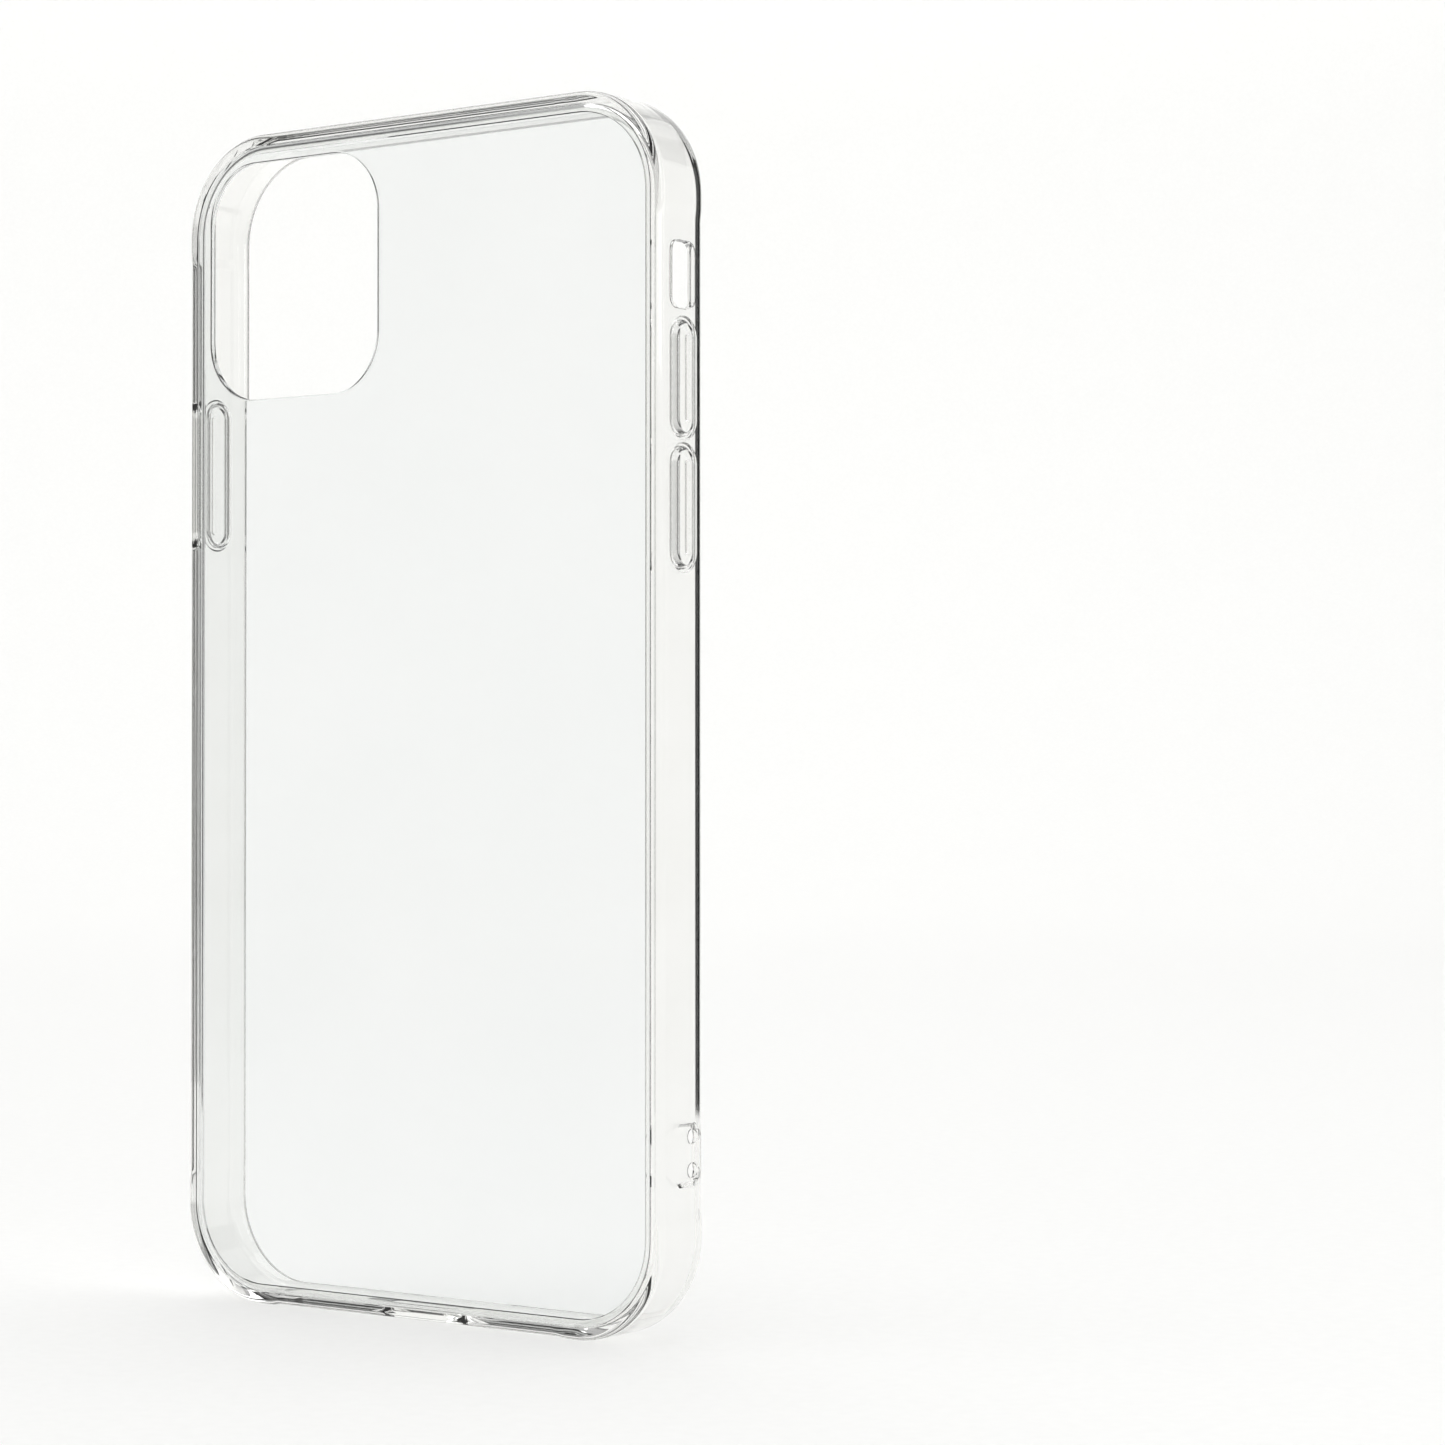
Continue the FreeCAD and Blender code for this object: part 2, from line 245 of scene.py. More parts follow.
def clear_polyurethane(finish):
    """Clear thermoplastic polyurethane, soft and injection moulded: clear with a warm grey cast, a soft
    gloss and gentle sink waves that bend reflections along the walls."""
    material, tree, shader, place = new_material("clear_polyurethane_moulded")
    shader.inputs["Transmission Weight"].default_value = 1.0
    shader.inputs["IOR"].default_value = 1.5
    sink = add_node(tree, "ShaderNodeTexNoise", {"Vector": place, "Scale": 1 / (7 * MM), "Detail": 1.0})
    skin = add_node(tree, "ShaderNodeTexNoise", {"Vector": place, "Scale": 1 / (1.5 * MM), "Detail": 4.0})
    colour = add_node(tree, "ShaderNodeMix", {0: sink.outputs["Fac"], 6: (*finish.bumper_colour, 1.0),
                                              7: (*finish.bumper_shade, 1.0)}, data_type="RGBA")
    tree.links.new(colour.outputs[2], shader.inputs["Base Color"])
    gloss = add_node(tree, "ShaderNodeMapRange",
                     {"Value": skin.outputs["Fac"], "To Min": 0.01, "To Max": 0.06})
    tree.links.new(gloss.outputs["Result"], shader.inputs["Roughness"])
    wave = add_node(tree, "ShaderNodeBump",
                    {"Height": sink.outputs["Fac"], "Strength": 0.03, "Distance": 0.1 * MM})
    tree.links.new(wave.outputs["Normal"], shader.inputs["Normal"])
    return material


def seamless_paper(finish):
    """Matt white seamless studio paper: uncoated, with a faint fibre drawn 2 mm wide so it can show."""
    material, tree, shader, place = new_material("seamless_paper_matt")
    shader.inputs["Roughness"].default_value = 0.95
    shader.inputs["Specular IOR Level"].default_value = 0.1
    fibre = add_node(tree, "ShaderNodeTexNoise", {"Vector": place, "Scale": 1 / (2 * MM), "Detail": 3.0})
    colour = add_node(tree, "ShaderNodeMix", {0: fibre.outputs["Fac"], 6: (*finish.paper_colour, 1.0),
                                              7: (*finish.paper_shade, 1.0)}, data_type="RGBA")
    tree.links.new(colour.outputs[2], shader.inputs["Base Color"])
    return material


def black_flock():
    """Black flocked card that swallows light, with a pile drawn 3 mm wide."""
    material, tree, shader, place = new_material("black_flock_matt")
    shader.inputs["Roughness"].default_value = 1.0
    pile = add_node(tree, "ShaderNodeTexNoise", {"Vector": place, "Scale": 1 / (3 * MM), "Detail": 2.0})
    colour = add_node(tree, "ShaderNodeMix", {0: pile.outputs["Fac"], 6: (*hex_to_linear("0C0C0C"), 1.0),
                                              7: (*hex_to_linear("161616"), 1.0)}, data_type="RGBA")
    tree.links.new(colour.outputs[2], shader.inputs["Base Color"])
    return material


# ---------------------------------------------------------------- outlines, lofts and sweeps

def rounded_outline(width, height, radius, steps=10):
    """Rounded rectangle about the origin, anticlockwise. steps=1 cuts the corners straight."""
    radius = min(radius, width / 2, height / 2)
    points = []
    for turn, (sx, sy) in enumerate(((1, 1), (-1, 1), (-1, -1), (1, -1))):
        centre = Vector((sx * (width / 2 - radius), sy * (height / 2 - radius)))
        for step in range(steps + 1):
            angle = math.radians(90 * (turn + step / steps))
            points.append(centre + radius * Vector((math.cos(angle), math.sin(angle))))
    return points


def grown_outline(size, radius, margin, steps=10):
    """The outline of a rounded rectangle, moved outwards by margin."""
    return rounded_outline(size[0] + 2 * margin, size[1] + 2 * margin, radius + margin, steps)


def loft(name, rings):
    """Closed solid through rings of points, capped at both ends."""
    mesh = bpy.data.meshes.new(name)
    work = bmesh.new()
    loops = [[work.verts.new(point) for point in ring] for ring in rings]
    for lower, upper in zip(loops, loops[1:]):
        for index in range(len(lower)):
            following = (index + 1) % len(lower)
            work.faces.new((lower[index], lower[following], upper[following], upper[index]))
    work.faces.new(loops[0])
    work.faces.new(loops[-1])
    bmesh.ops.remove_doubles(work, verts=work.verts, dist=1e-7)
    bmesh.ops.recalc_face_normals(work, faces=work.faces)
    work.to_mesh(mesh)
    work.free()
    return mesh


def new_object(name, mesh):
    piece = bpy.data.objects.new(name, mesh)
    bpy.context.scene.collection.objects.link(piece)
    return piece


def flattened(piece):
    """Replace a piece's geometry with its evaluated mesh and drop its modifiers."""
    name = piece.name
    evaluated = piece.evaluated_get(bpy.context.evaluated_depsgraph_get())
    mesh = bpy.data.meshes.new_from_object(evaluated)
    bpy.data.objects.remove(piece)
    mesh.name = name
    return new_object(name, mesh)


def carve(piece, tools):
    """Cut the tool meshes out of a piece."""
    cutters = [new_object("cutter", tool) for tool in tools]
    for cutter in cutters:
        modifier = piece.modifiers.new("cut", "BOOLEAN")
        modifier.operation = "DIFFERENCE"
        modifier.solver = "EXACT"
        modifier.object = cutter
    piece = flattened(piece)
    for cutter in cutters:
        bpy.data.objects.remove(cutter)
    return piece


def finish_surface(piece, material, sharp_degrees=32):
    """Smooth shading that keeps flat faces flat, and the piece's material."""
    mesh = piece.data
    mesh.materials.clear()
    mesh.materials.append(material)
    mesh.shade_smooth()
    mesh.set_sharp_from_angle(angle=math.radians(sharp_degrees))
    weighted = piece.modifiers.new("even_normals", "WEIGHTED_NORMAL")
    weighted.keep_sharp = True
    weighted.weight = 100
    return flattened(piece)


def sweep_tree():
    """Geometry Nodes: sweep a closed profile round a rounded rectangle that lies in the XY plane.
    The profile's X points outwards from the path and its Y points along -Z."""
    tree = bpy.data.node_groups.new("sweep_round_frame", "GeometryNodeTree")
    tree.interface.new_socket("Profile", in_out="INPUT", socket_type="NodeSocketGeometry")
    for name in ("Width", "Height", "Corner Radius"):
        tree.interface.new_socket(name, in_out="INPUT", socket_type="NodeSocketFloat")
    tree.interface.new_socket("Corner Steps", in_out="INPUT", socket_type="NodeSocketInt")
    tree.interface.new_socket("Finish", in_out="INPUT", socket_type="NodeSocketMaterial")
    tree.interface.new_socket("Ring", in_out="OUTPUT", socket_type="NodeSocketGeometry")
    given = add_node(tree, "NodeGroupInput").outputs
    path = add_node(tree, "GeometryNodeCurvePrimitiveQuadrilateral",
                    {"Width": given["Width"], "Height": given["Height"]})
    rounded = add_node(tree, "GeometryNodeFilletCurve",
                       {"Curve": path.outputs["Curve"], "Radius": given["Corner Radius"],
                        "Count": given["Corner Steps"], "Limit Radius": True}, mode="POLY")
    upright = add_node(tree, "GeometryNodeSetCurveNormal", {"Curve": rounded.outputs["Curve"]}, mode="Z_UP")
    ring = add_node(tree, "GeometryNodeCurveToMesh",
                    {"Curve": upright.outputs["Curve"], "Profile Curve": given["Profile"]})
    real = add_node(tree, "GeometryNodeRealizeInstances", {"Geometry": ring.outputs["Mesh"]})
    finished = add_node(tree, "GeometryNodeSetMaterial",
                        {"Geometry": real.outputs["Geometry"], "Material": given["Finish"]})
    add_node(tree, "NodeGroupOutput", {"Ring": finished.outputs["Geometry"]})
    return tree


def sweep_ring(name, profile, size, radius, steps, material, matrix):
    """Sweep a closed profile round a rounded rectangle and put the result in place with matrix."""
    curve = bpy.data.curves.new(name, "CURVE")
    curve.dimensions = "3D"
    spline = curve.splines.new("POLY")
    spline.points.add(len(profile) - 1)
    for point, (outward, along) in zip(spline.points, profile):
        point.co = (outward, along, 0.0, 1.0)
    spline.use_cyclic_u = True
    piece = new_object(name, curve)
    tree = bpy.data.node_groups.get("sweep_round_frame") or sweep_tree()
    modifier = piece.modifiers.new("sweep", "NODES")
    modifier.node_group = tree
    values = {"Width": size[0], "Height": size[1], "Corner Radius": radius, "Corner Steps": steps,
              "Finish": material}
    for socket in tree.interface.items_tree:
        if socket.name in values:
            modifier[socket.identifier] = values[socket.name]
    piece = flattened(piece)
    work = bmesh.new()
    work.from_mesh(piece.data)
    bmesh.ops.remove_doubles(work, verts=work.verts, dist=1e-7)
    work.transform(matrix)
    bmesh.ops.recalc_face_normals(work, faces=work.faces)
    work.to_mesh(piece.data)
    work.free()
    return piece


# ---------------------------------------------------------------- the bumper

def arc_points(centre, radii, start, end, steps):
    """Points on an ellipse arc in an inset/depth plane, angles in degrees."""
    points = []
    for step in range(steps + 1):
        angle = math.radians(start + (end - start) * step / steps)
        points.append((centre[0] + radii[0] * math.cos(angle), centre[1] + radii[1] * math.sin(angle)))
    return points


def bumper_section(shape):
    """Closed section of the bumper at a corner, as (inset, depth) points."""
    depth = BUMPER_HIGH.y - BUMPER_LOW.y
    plate = PLATE_HIGH.y - PLATE_LOW.y
    seam = BUMPER_HIGH.x - PLATE_HIGH.x
    back_r, front_r, crest_r = shape.back_edge_radius, shape.front_edge_radius, shape.crest_radius
    crest_drop = crest_r * (1 - math.cos(math.radians(90 - FRONT_SWEEP)))
    front_y = depth - crest_drop - front_r * math.sin(math.radians(FRONT_SWEEP))
    front = arc_points((front_r, front_y), (front_r, front_r), 180, 180 - FRONT_SWEEP, 14)
    crest_x = front[-1][0] + crest_r * math.sin(math.radians(90 - FRONT_SWEEP))
    lip_x = shape.wall + shape.lip_overlap
    screen = depth - shape.lip_height
    lip_r = 0.2 * MM
    floor_r = shape.ledge_inset - shape.wall
    small = 0.08 * MM
    gap = shape.seam_gap
    points = [(seam - small, 0.0)]
    points += arc_points((back_r, back_r), (back_r, back_r), 270, 180, 10)
    points += front
    points += arc_points((crest_x, depth - crest_r), (crest_r, crest_r),
                         90 + (90 - FRONT_SWEEP) * 0.8, 90, 4)
    points += arc_points((lip_x - lip_r, depth - lip_r), (lip_r, lip_r), 90, 0, 5)
    points += [(lip_x, screen + small)]
    under_r = (shape.lip_overlap ** 2 + shape.lip_undercut ** 2) / (2 * shape.lip_overlap)
    under_start = 180 - math.degrees(math.asin(shape.lip_undercut / under_r))
    points += arc_points((shape.wall + under_r, screen - shape.lip_undercut), (under_r, under_r),
                         under_start + 2, 180, 8)
    points += arc_points((shape.ledge_inset, plate + floor_r), (floor_r, floor_r), 180, 270, 10)
    points += [(shape.ledge_inset, shape.tier_depth + gap), (seam, shape.tier_depth + gap), (seam, small)]
    kept = [points[0]]
    for point in points[1:]:
        if math.dist(point, kept[-1]) > 0.01 * MM:
            kept.append(point)
    return kept


def wall_spot(point, shape):
    """The outward direction of the straight wall a point is on, and how far it lies past the corner pad."""
    middle_z = BUMPER_HIGH.z / 2
    run_x = BUMPER_HIGH.x - shape.corner_radius - shape.pad_run
    run_z = middle_z - shape.corner_radius - shape.pad_run
    if abs(point.z - middle_z) < run_z and abs(point.x) > BUMPER_HIGH.x - shape.corner_radius:
        return Vector((math.copysign(1, point.x), 0, 0)), run_z - abs(point.z - middle_z)
    if abs(point.x) < run_x and point.z < shape.corner_radius:
        return Vector((0, 0, -1)), run_x - abs(point.x)
    return None, 0.0


def sink_straight_walls(mesh, shape):
    """Let the side walls and the bottom sit a little inside the corner pads, down a smooth ramp."""
    work = bmesh.new()
    work.from_mesh(mesh)
    middle = Vector((0, 0, BUMPER_HIGH.z / 2))
    for direction, reach in ((Vector((1, 0, 0)), BUMPER_HIGH.x), (Vector((0, 0, 1)), BUMPER_HIGH.z / 2)):
        run = reach - shape.corner_radius - shape.pad_run
        for step in range(9):
            for side in (-1, 1):
                spot = middle + direction * side * (run - shape.pad_ramp * step / 8)
                everything = work.verts[:] + work.edges[:] + work.faces[:]
                bmesh.ops.bisect_plane(work, geom=everything, plane_co=spot, plane_no=direction,
                                       dist=1e-8)
    for vert in work.verts:
        outward, past = wall_spot(vert.co, shape)
        if outward is None:
            continue
        reach = BUMPER_HIGH.x if outward.x else BUMPER_HIGH.z / 2
        inset = reach - abs((vert.co - middle).dot(outward))
        along = min(past / shape.pad_ramp, 1.0)
        fade = max(0.0, 1 - inset / shape.wall)
        vert.co -= outward * shape.corner_pad * fade * along * along * (3 - 2 * along)
    work.to_mesh(mesh)
    work.free()


def flare(face, radius, towards):
    """(inset, margin) pairs of a rounded edge at a face: towards is -1 outside and 1 on the cavity."""
    pairs = [(face + towards * 1.5 * MM, radius)]
    for step in range(4):
        angle = math.radians(90 * (1 - step / 3))
        pairs.append((face - towards * radius * (1 - math.sin(angle)), radius * (1 - math.cos(angle))))
    return pairs


def side_cutter(name, side, centre, size, radius, pairs, steps=10):
    """Cutter along X on one side wall. centre and size are (y, z), and pairs are (inset, margin)."""
    rings = []
    for inset, margin in pairs:
        x = side * (BUMPER_HIGH.x - inset)
        outline = grown_outline(size, radius, margin, steps)
        rings.append([Vector((x, centre[0] + u, centre[1] + v)) for u, v in outline])
    return loft(name, rings)


def button_box(name):
    """Side, middle (y, z) and size (y, z) of a button cover."""
    low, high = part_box(name + "_button_cover")
    middle = ((low.y + high.y) / 2, (low.z + high.z) / 2)
    return BUTTON_SIDES[name], middle, (high.y - low.y, high.z - low.z)


def button_cutters(shape, openings):
    """Dishes round the buttons, and a window behind each."""
    tools = []
    lip = 0.1 * MM
    for name in BUTTON_SIDES:
        side, centre, cover = button_box(name)
        size = (cover[0] + 2 * openings.dish_margin, cover[1] + 2 * openings.dish_margin)
        pairs = flare(shape.corner_pad, lip, -1)
        pairs += [(openings.dish_inset - 0.1 * MM, -0.02 * MM), (openings.dish_inset, -0.14 * MM)]
        tools.append(side_cutter("dish", side, centre, size, size[0] / 2, pairs, 14))
        low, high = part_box(name + "_button_web")
        size = (high.y - low.y, high.z - low.z)
        pairs = flare(openings.dish_inset, lip, -1) + flare(shape.wall, shape.edge_round, 1)[::-1]
        tools.append(side_cutter("window", side, centre, size, size[0] / 2, pairs, 14))
    return tools


def lanyard_cutters(shape, openings):
    """Pocket with cut corners, and two holes that leave a bar for the cord."""
    bar = MOUNTS["lanyard_bar"]
    pocket_y = BUMPER_LOW.y + (openings.pocket_near + openings.pocket_far) / 2
    slope = openings.pocket_slope
    pairs = flare(shape.corner_pad, 0.12 * MM, -1)
    pairs += [(openings.pocket_inset - 0.06 * MM, -0.9 * slope), (openings.pocket_inset, -slope - 0.05 * MM)]
    size = (openings.pocket_far - openings.pocket_near, openings.pocket_height)
    tools = [side_cutter("pocket", 1, (pocket_y, bar.z), size, openings.pocket_chamfer, pairs, 1)]
    for side in (-1, 1):
        centre = (bar.y, bar.z + side * openings.hole_spacing / 2)
        pairs = flare(openings.pocket_inset, shape.edge_round, -1)
        pairs += flare(shape.wall, shape.edge_round, 1)[::-1]
        size = (2 * openings.hole_radius, 2 * openings.hole_radius)
        tools.append(side_cutter("hole", 1, centre, size, openings.hole_radius, pairs, 8))
    return tools


def port_cutter(openings):
    """Charging port slot through the bottom wall, with a flare that eases out to both sides."""
    y = BUMPER_LOW.y + openings.feature_depth
    rings = []
    levels = [(-2 * MM, 1.0)]
    levels += [(openings.flare_rise * step / 8, 1 - step / 8) for step in range(9)]
    levels += [(5 * MM, 0.0)]
    for z, share in levels:
        length = openings.port_length + (openings.flare_length - openings.port_length) * share ** 1.6
        width = openings.port_width + (openings.flare_width - openings.port_width) * share
        outline = rounded_outline(length, width, width / 2, 14)
        rings.append([Vector((u, y + v, z)) for u, v in outline])
    return loft("port", rings)


def build_bumper(context):
    shape, openings = context.scene.case_bumper, context.scene.case_openings
    material = clear_polyurethane(context.scene.case_finish)
    profile = [(-inset, depth) for inset, depth in bumper_section(shape)]
    size = (BUMPER_HIGH.x - BUMPER_LOW.x, BUMPER_HIGH.z - BUMPER_LOW.z)
    upright = Matrix.Translation((0, BUMPER_LOW.y, size[1] / 2)) @ Matrix.Rotation(math.pi / 2, 4, "X")
    piece = sweep_ring("soft_bumper", profile, size, shape.corner_radius, shape.corner_steps, material,
                       upright)
    sink_straight_walls(piece.data, shape)
    feature_y = BUMPER_LOW.y + openings.feature_depth
    mute_centre = (feature_y, (openings.mute_low + openings.mute_high) / 2)
    mute_size = (openings.mute_width, openings.mute_high - openings.mute_low)
    mute_pairs = flare(shape.corner_pad, shape.edge_round, -1)
    mute_pairs += flare(shape.wall, shape.edge_round, 1)[::-1]
    tools = [side_cutter("mute", 1, mute_centre, mute_size, openings.mute_radius, mute_pairs)]
    tools += button_cutters(shape, openings)
    tools += lanyard_cutters(shape, openings)
    tools.append(port_cutter(openings))
    piece = carve(piece, tools)
    piece = finish_surface(piece, material)
    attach(piece, "case")
    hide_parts("bumper_frame")


# ---------------------------------------------------------------- the plate

def plate_rings(shape):
    """Outline rings of the two-tier plate, from the outer back face to the cavity floor."""
    seam = BUMPER_HIGH.x - PLATE_HIGH.x
    thickness = PLATE_HIGH.y - PLATE_LOW.y
    gap, small = shape.seam_gap, 0.08 * MM
    pairs = [(seam + gap + small, 0.0), (seam + gap + 0.3 * small, 0.3 * small), (seam + gap, small),
             (seam + gap, shape.tier_depth), (shape.ledge_inset + gap, shape.tier_depth),
             (shape.ledge_inset + gap, thickness - small), (shape.ledge_inset + gap + small, thickness)]
    size = (BUMPER_HIGH.x - BUMPER_LOW.x, BUMPER_HIGH.z - BUMPER_LOW.z)
    rings = []
    for inset, depth in pairs:
        outline = grown_outline(size, shape.corner_radius, -inset, shape.corner_steps)
        rings.append([Vector((u, PLATE_LOW.y + depth, size[1] / 2 + v)) for u, v in outline])
    return rings


def camera_cutter(openings):
    """Cutter for the camera cut-out, rounded over on both faces of the plate."""
    centre = MOUNTS["camera_cutout"]
    thickness = PLATE_HIGH.y - PLATE_LOW.y
    size = (openings.camera_width, openings.camera_height)
    rings = []
    for depth, margin in flare(0.0, 0.25 * MM, -1) + flare(thickness, 0.15 * MM, 1)[::-1]:
        outline = grown_outline(size, openings.camera_radius, margin, 24)
        rings.append([Vector((centre.x + u, PLATE_LOW.y + depth, centre.z + v)) for u, v in outline])
    return loft("camera", rings)


def build_plate(context):
    shape = context.scene.case_bumper
    piece = new_object("hard_back_plate", loft("hard_back_plate", plate_rings(shape)))
    piece = carve(piece, [camera_cutter(context.scene.case_openings)])
    piece = finish_surface(piece, clear_polycarbonate(context.scene.case_finish))
    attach(piece, "case")
    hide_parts("back_panel")


# ---------------------------------------------------------------- the buttons

def cover_pairs(low_inset, high_inset, half_width):
    """(inset, margin) pairs of a cover from its inner face, over its crowned edge, to the rib on top."""
    rib = 0.15 * MM
    crown_rise, crown_reach = 0.3 * MM, 0.7 * MM
    crown_start = high_inset + rib + crown_rise
    pairs = [(low_inset, -0.3 * MM), (low_inset - 0.04 * MM, -0.14 * MM), (low_inset - 0.14 * MM, -0.04 * MM),
             (low_inset - 0.3 * MM, 0.0), (crown_start, 0.0)]
    for step in range(1, 7):
        angle = math.radians(15 * step)
        pairs.append((crown_start - crown_rise * math.sin(angle), -crown_reach * (1 - math.cos(angle))))
    rib_foot = 0.55 * MM - half_width
    pairs += [(high_inset + rib, rib_foot), (high_inset + 0.1 * MM, rib_foot - 0.14 * MM),
              (high_inset + 0.03 * MM, rib_foot - 0.22 * MM), (high_inset, rib_foot - 0.34 * MM)]
    return pairs


def build_button_cover(name, material):
    side, centre, size = button_box(name)
    low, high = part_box(name + "_button_cover")
    near, far = sorted((abs(low.x), abs(high.x)))
    pairs = cover_pairs(BUMPER_HIGH.x - near, BUMPER_HIGH.x - far, size[0] / 2)
    mesh = side_cutter(name + "_cover", side, centre, size, size[0] / 2, pairs, 14)
    piece = finish_surface(new_object(name + "_cover", mesh), material, 40)
    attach(piece, name + "_button")
    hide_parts(name + "_button_cover")


def build_button_web(name, material):
    """Thin skin that slopes from the window's edge up to the cover."""
    side, centre, size = button_box(name)
    low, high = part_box(name + "_button_web")
    margin = (high.y - low.y - size[0]) / 2
    touch = 0.02 * MM
    wall_inset, cover_inset, thickness = 1.3 * MM, 0.62 * MM, 0.3 * MM
    front, back = [], []
    for step in range(9):
        share = step / 8
        ease = share * share * (3 - 2 * share)
        outward = margin - touch - (margin - 2 * touch) * share
        inset = wall_inset + (cover_inset + thickness - wall_inset) * ease
        back.append((outward, inset))
        front.append((outward, inset - thickness))
    profile = back + front[::-1]
    turn = Matrix(((0, 0, -side, side * BUMPER_HIGH.x), (1, 0, 0, centre[0]),
                   (0, 1, 0, centre[1]), (0, 0, 0, 1)))
    flipped = [(outward, -inset) for outward, inset in profile]
    piece = sweep_ring(name + "_web", flipped, size, size[0] / 2, 14, material, turn)
    piece = finish_surface(piece, material, 60)
    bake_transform(piece)
    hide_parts(name + "_button_web")


# ---------------------------------------------------------------- the stage

def build_sweep(stage, finish):
    """Round studio floor that curves up into a wall on all sides."""
    points = [(stage.sweep_radius * step / 6, 0.0) for step in range(1, 7)]
    bend = stage.sweep_bend
    for step in range(1, 13):
        angle = math.radians(90 * step / 12)
        points.append((stage.sweep_radius + bend * math.sin(angle), bend * (1 - math.cos(angle))))
    points.append((stage.sweep_radius + bend, stage.sweep_height))
    work = bmesh.new()
    centre = work.verts.new((0, 0, 0))
    angles = [2 * math.pi * i / FLOOR_SIDES for i in range(FLOOR_SIDES)]
    rings = []
    for radius, height in points:
        rings.append([work.verts.new((radius * math.cos(a), radius * math.sin(a), height)) for a in angles])
    for i in range(FLOOR_SIDES):
        j = (i + 1) % FLOOR_SIDES
        work.faces.new((centre, rings[0][i], rings[0][j]))
        for lower, upper in zip(rings, rings[1:]):
            work.faces.new((lower[i], upper[i], upper[j], lower[j]))
    bmesh.ops.recalc_face_normals(work, faces=work.faces)
    if work.faces[0].normal.z < 0:
        bmesh.ops.reverse_faces(work, faces=work.faces)
    mesh = bpy.data.meshes.new("studio_sweep")
    work.to_mesh(mesh)
    work.free()
    mesh.materials.append(seamless_paper(finish))
    mesh.shade_smooth()
    new_object("studio_sweep", mesh)


def add_softbox(name, place, target, size, power, shadow=True):
    """Rectangular light facing target. Without a shadow it stands for light that clear plastic lets by."""
    data = bpy.data.lights.new(name, "AREA")
    data.shape = "RECTANGLE"
    data.size, data.size_y = size
    data.energy = power
    data.use_shadow = shadow
    light = bpy.data.objects.new(name, data)
    light.location = place
    light.rotation_euler = (Vector(target) - Vector(place)).to_track_quat("-Z", "Y").to_euler()
    light.visible_camera = False
    bpy.context.scene.collection.objects.link(light)


def add_flag(name, azimuth, half_width, material):
    """Upright card beside the case. Only reflections and refractions pick it up, so it draws the edges of the
    clear walls and leaves the floor's light alone."""
    turn = math.radians(azimuth)
    outward = Vector((math.sin(turn), -math.cos(turn), 0))
    across = Vector((math.cos(turn), math.sin(turn), 0))
    corners = [outward * FLAG_DISTANCE + across * side * half_width + Vector((0, 0, height))
               for side, height in ((-1, FLAG_FOOT), (1, FLAG_FOOT), (1, FLAG_TOP), (-1, FLAG_TOP))]
    mesh = bpy.data.meshes.new(name)
    mesh.from_pydata(corners, [], [(0, 1, 2, 3)])
    mesh.materials.append(material)
    flag = new_object(name, mesh)
    flag.visible_camera = False
    flag.visible_diffuse = False
    flag.visible_shadow = False


def add_camera(stage):
    data = bpy.data.cameras.new("camera")
    data.lens = stage.lens
    data.sensor_width = 36.0
    data.clip_start = 0.01
    camera = bpy.data.objects.new("camera", data)
    turn = stage.azimuth
    forward = Vector((-math.sin(turn), math.cos(turn), 0))
    right = Vector((math.cos(turn), math.sin(turn), 0))
    camera.location = -forward * stage.camera_distance + right * stage.camera_sideways
    camera.location.z = stage.camera_height
    camera.rotation_euler = (math.pi / 2 + stage.tilt, 0, turn)
    bpy.context.scene.collection.objects.link(camera)
    bpy.context.scene.camera = camera


def add_world():
    world = bpy.data.worlds.new("studio")
    world.use_nodes = True
    background = world.node_tree.nodes["Background"]
    background.inputs["Color"].default_value = (1, 1, 1, 1)
    background.inputs["Strength"].default_value = WORLD_STRENGTH
    bpy.context.scene.world = world


def build_stage(context):
    stage = context.scene.case_stage
    build_sweep(stage, context.scene.case_finish)
    add_camera(stage)
    add_world()
    context.scene.view_settings.view_transform = "Standard"
    add_softbox("top_softbox", (-0.1, 0.1, 1.6), (-0.1, 0.1, 0), (1.6, 1.6), 3.6)
    add_softbox("top_fill", (-0.1, 0.1, 1.61), (-0.1, 0.1, 0), (1.6, 1.6), 11.6, False)
    add_softbox("backdrop_softbox", (-0.76, 1.06, 1.2), (-1.3, 1.75, 0.35), (2.2, 0.5), 5.2)
    add_softbox("right_softbox", (1.1, -0.2, 0.7), (0, 0, 0.08), (0.4, 1.0), 3.5, False)
    black = black_flock()
    add_flag("left_flag", 291, 0.075, black)
    add_flag("right_flag", 154, 0.045, black)


# ---------------------------------------------------------------- operators and panel

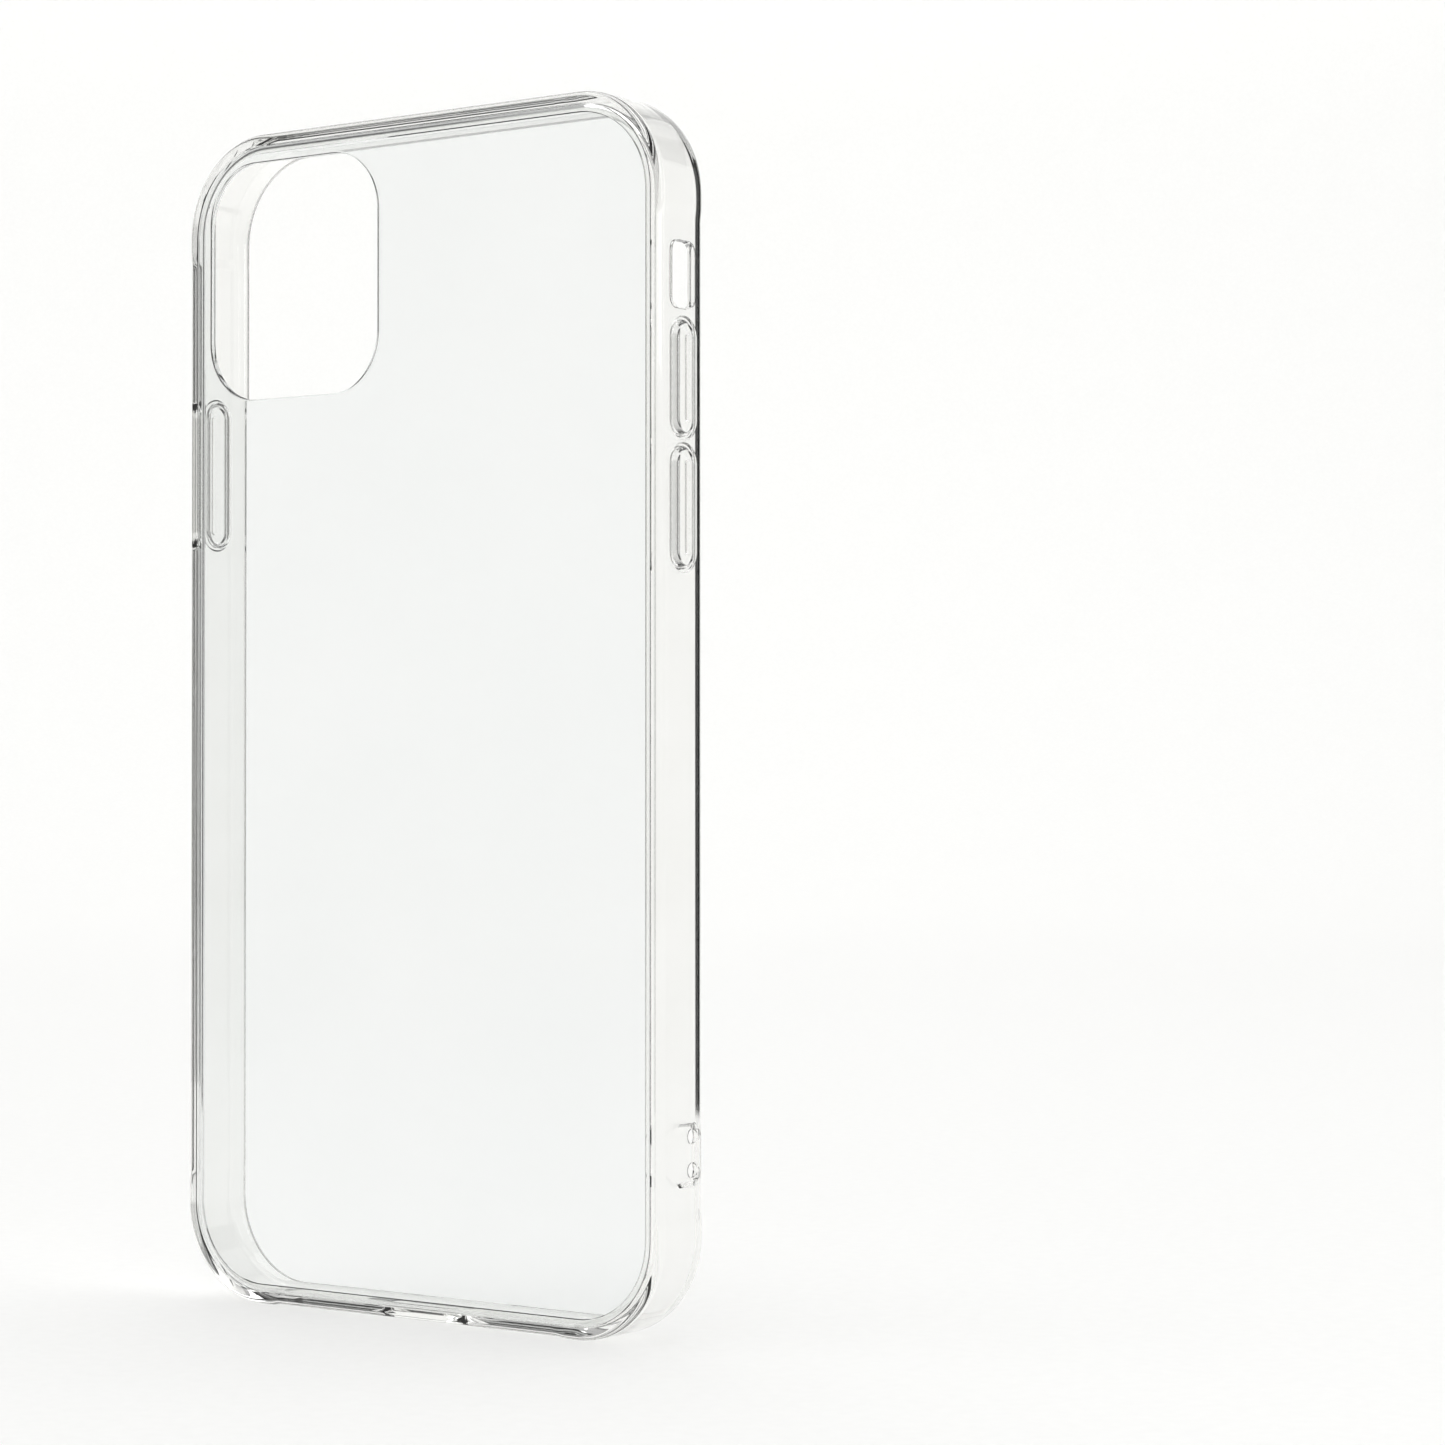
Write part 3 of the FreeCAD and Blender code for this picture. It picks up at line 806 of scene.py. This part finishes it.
class PHONECASE_OT_bumper(bpy.types.Operator):
    """Build the soft clear bumper with its openings"""
    bl_idname = "phonecase.bumper"
    bl_label = "Soft Bumper"

    def execute(self, context):
        build_bumper(context)
        return {"FINISHED"}


class PHONECASE_OT_plate(bpy.types.Operator):
    """Build the hard clear back plate with its camera cut-out"""
    bl_idname = "phonecase.plate"
    bl_label = "Hard Back Plate"

    def execute(self, context):
        build_plate(context)
        return {"FINISHED"}


class PHONECASE_OT_buttons(bpy.types.Operator):
    """Build the button covers and the thin skins round them"""
    bl_idname = "phonecase.buttons"
    bl_label = "Button Covers"

    def execute(self, context):
        material = bpy.data.materials["clear_polyurethane_moulded"]
        for name in BUTTON_SIDES:
            build_button_cover(name, material)
            build_button_web(name, material)
        return {"FINISHED"}


class PHONECASE_OT_stage(bpy.types.Operator):
    """Build the floor, the lights and the camera"""
    bl_idname = "phonecase.stage"
    bl_label = "Studio Stage"

    def execute(self, context):
        build_stage(context)
        return {"FINISHED"}


class PHONECASE_PT_panel(bpy.types.Panel):
    bl_idname = "PHONECASE_PT_panel"
    bl_label = "Clear Phone Case"
    bl_space_type = "VIEW_3D"
    bl_region_type = "UI"
    bl_category = "Phone Case"

    def draw(self, context):
        for operator in OPERATORS:
            self.layout.operator(operator.bl_idname)
        for group_name, group in GROUPS.items():
            box = self.layout.box()
            for prop in group.__annotations__:
                box.prop(getattr(context.scene, group_name), prop)


OPERATORS = (PHONECASE_OT_bumper, PHONECASE_OT_plate, PHONECASE_OT_buttons, PHONECASE_OT_stage)


def register():
    for cls in (*GROUPS.values(), *OPERATORS, PHONECASE_PT_panel):
        bpy.utils.register_class(cls)
    for name, group in GROUPS.items():
        setattr(bpy.types.Scene, name, PointerProperty(type=group))


def unregister():
    for name in GROUPS:
        delattr(bpy.types.Scene, name)
    for cls in (PHONECASE_PT_panel, *reversed(OPERATORS), *reversed(GROUPS.values())):
        bpy.utils.unregister_class(cls)


def main():
    register()
    bpy.ops.phonecase.bumper()
    bpy.ops.phonecase.plate()
    bpy.ops.phonecase.buttons()
    bpy.ops.phonecase.stage()


if __name__ == "__main__":
    main()
